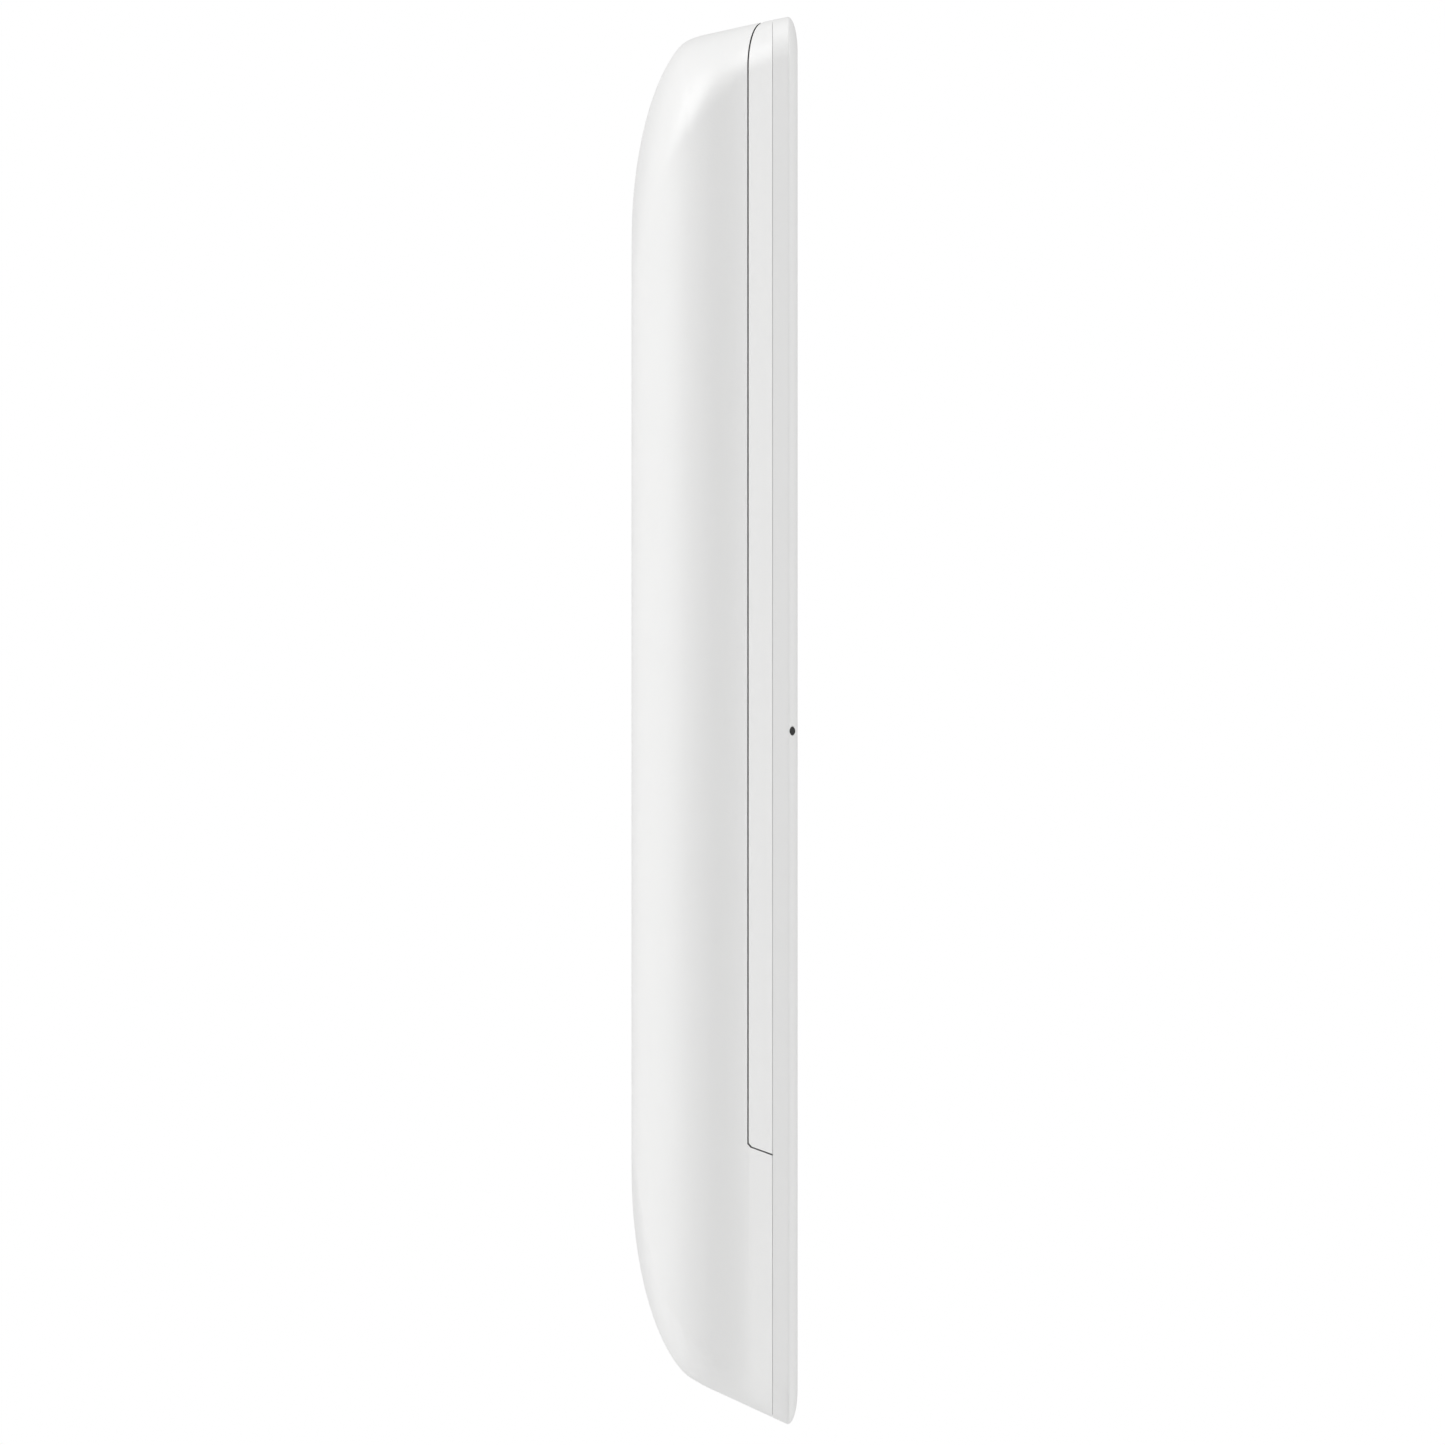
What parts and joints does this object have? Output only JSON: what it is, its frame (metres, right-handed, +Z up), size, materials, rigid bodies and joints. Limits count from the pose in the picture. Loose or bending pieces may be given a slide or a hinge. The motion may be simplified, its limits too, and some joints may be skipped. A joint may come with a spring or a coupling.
{
  "type": "video doorbell",
  "caption": "Slim upright video doorbell with a lens window, a round call button and a pull-off front cover, held on a steel wall bracket.",
  "frame": {"origin": "centre of the wall bracket's rear face, on the wall plane", "axes": "+Z up the wall, +Y into the wall, the front faces -Y, +X to the right of someone facing it"},
  "size_m": [0.046, 0.0159, 0.1342],
  "materials": {
    "white_plastic": "fine satin grain",
    "black_acrylic": "polished",
    "black_plastic": "satin",
    "black_rubber": "matt",
    "light_guide": "frosted, translucent",
    "lens_glass": "coated, polished",
    "steel": "zinc plated",
    "brass": "plain",
    "circuit_board": "solder mask",
    "silicone": "matt",
    "speaker_paper": "matt",
    "flex_film": "film"
  },
  "bodies": {
    "housing_unit": {"board_screw_lower": "steel", "board_screw_upper": "steel", "button_gasket": "silicone", "button_light_ring": "light_guide", "button_switch": "black_plastic", "camera_flex": "flex_film", "housing": "white_plastic", "housing_screw_left_bottom": "steel", "housing_screw_left_top": "steel", "housing_screw_right_bottom": "steel", "housing_screw_right_top": "steel", "ir_led_left": "lens_glass", "ir_led_right": "lens_glass", "lens_barrel": "black_plastic", "lens_glass": "lens_glass", "lens_holder": "black_plastic", "lens_window": "black_acrylic", "main_board": "circuit_board", "microphone": "steel", "microphone_boot": "black_rubber", "power_inductor": "black_plastic", "rear_cover": "white_plastic", "rear_seal": "silicone", "reset_switch": "black_plastic", "sensor_board": "circuit_board", "shield_can": "steel", "speaker_frame": "black_plastic", "speaker_magnet": "steel", "speaker_mesh": "steel", "supercapacitor": "black_plastic", "terminal_plate_left": "brass", "terminal_plate_right": "brass", "terminal_screw_left": "brass", "terminal_screw_right": "brass", "vent_plug": "black_rubber", "wall_bracket": "steel", "wifi_antenna": "brass", "wifi_module": "steel"},
    "call_button": {"call_button": "white_plastic"},
    "front_cover": {"front_cover": "white_plastic"},
    "ir_cut_filter": {"ir_cut_filter": "lens_glass"},
    "reset_button": {"reset_button": "black_rubber"},
    "security_screw": {"security_screw": "steel"},
    "speaker_cone": {"speaker_cone": "speaker_paper"}
  },
  "joints": [
    {"name": "front_cover_pull_off", "type": "slide", "parent": "housing_unit", "child": "front_cover", "axis": [0, -1, 0], "range_m": [0, 0.014]},
    {"name": "call_button_press", "type": "slide", "parent": "housing_unit", "child": "call_button", "axis": [0, 1, 0], "range_m": [0, 0.0006], "stiffness_N_per_m": 300, "springref_m": -0.002},
    {"name": "reset_button_press", "type": "slide", "parent": "housing_unit", "child": "reset_button", "axis": [0, 1, 0], "range_m": [0, 0.0004], "stiffness_N_per_m": 250, "springref_m": -0.001},
    {"name": "ir_cut_filter_slide", "type": "slide", "parent": "housing_unit", "child": "ir_cut_filter", "axis": [1, 0, 0], "range_m": [0, 0.006]},
    {"name": "speaker_cone_stroke", "type": "slide", "parent": "housing_unit", "child": "speaker_cone", "axis": [0, 0, 1], "range_m": [-0.0003, 0.0003], "stiffness_N_per_m": 120},
    {"name": "security_screw_withdraw", "type": "slide", "parent": "housing_unit", "child": "security_screw", "axis": [0, 0, -1], "range_m": [0, 0.009]}
  ]
}
